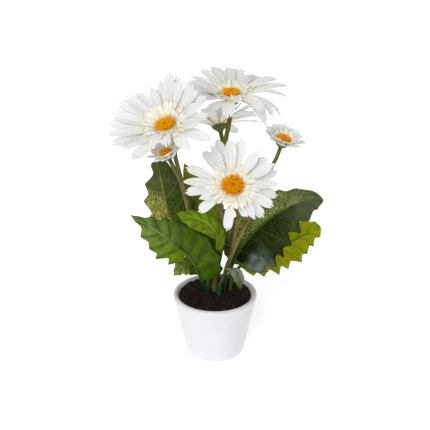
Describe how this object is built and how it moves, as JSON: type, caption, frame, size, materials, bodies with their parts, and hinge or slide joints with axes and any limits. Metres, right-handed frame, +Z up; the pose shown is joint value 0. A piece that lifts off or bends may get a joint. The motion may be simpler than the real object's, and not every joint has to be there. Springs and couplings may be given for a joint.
{
  "type": "potted gerbera",
  "caption": "White-flowered gerbera with toothed leaves, its flower stems rising from a tuft in a round tapered pot.",
  "frame": {"origin": "centre of the pot's flat underside", "axes": "+Z up out of the pot, -Y towards the front of the plant, +X to the right seen from the front"},
  "size_m": [0.2203, 0.1928, 0.3231],
  "materials": {
    "pot": "glossy",
    "soil": "matt",
    "petals": "matt",
    "disc": "matt",
    "stem": "matt",
    "young": "satin",
    "mid": "satin",
    "bright": "satin",
    "dark": "satin",
    "yellow": "satin"
  },
  "bodies": {
    "root": {"pot": "pot", "soil": "soil", "young_leaves": "young", "stem_left": "stem", "petals_left": "petals", "disc_left": "disc", "stem_top": "stem", "petals_top": "petals", "disc_top": "disc", "stem_front": "stem", "petals_front": "petals", "disc_front": "disc", "stem_back": "stem", "petals_back": "petals", "disc_back": "disc", "stem_right": "stem", "petals_right": "petals", "disc_right": "disc", "stem_low": "stem", "petals_low": "petals", "disc_low": "disc", "leaf_front_left": "mid", "leaf_mid_left": "bright", "leaf_tall_left": "dark", "leaf_tall_back": "bright", "leaf_right": "dark", "leaf_low_right": "yellow", "leaf_small_front": "dark", "leaf_low_left": "mid", "leaf_back": "mid", "leaf_back_right": "dark"}
  },
  "joints": []
}
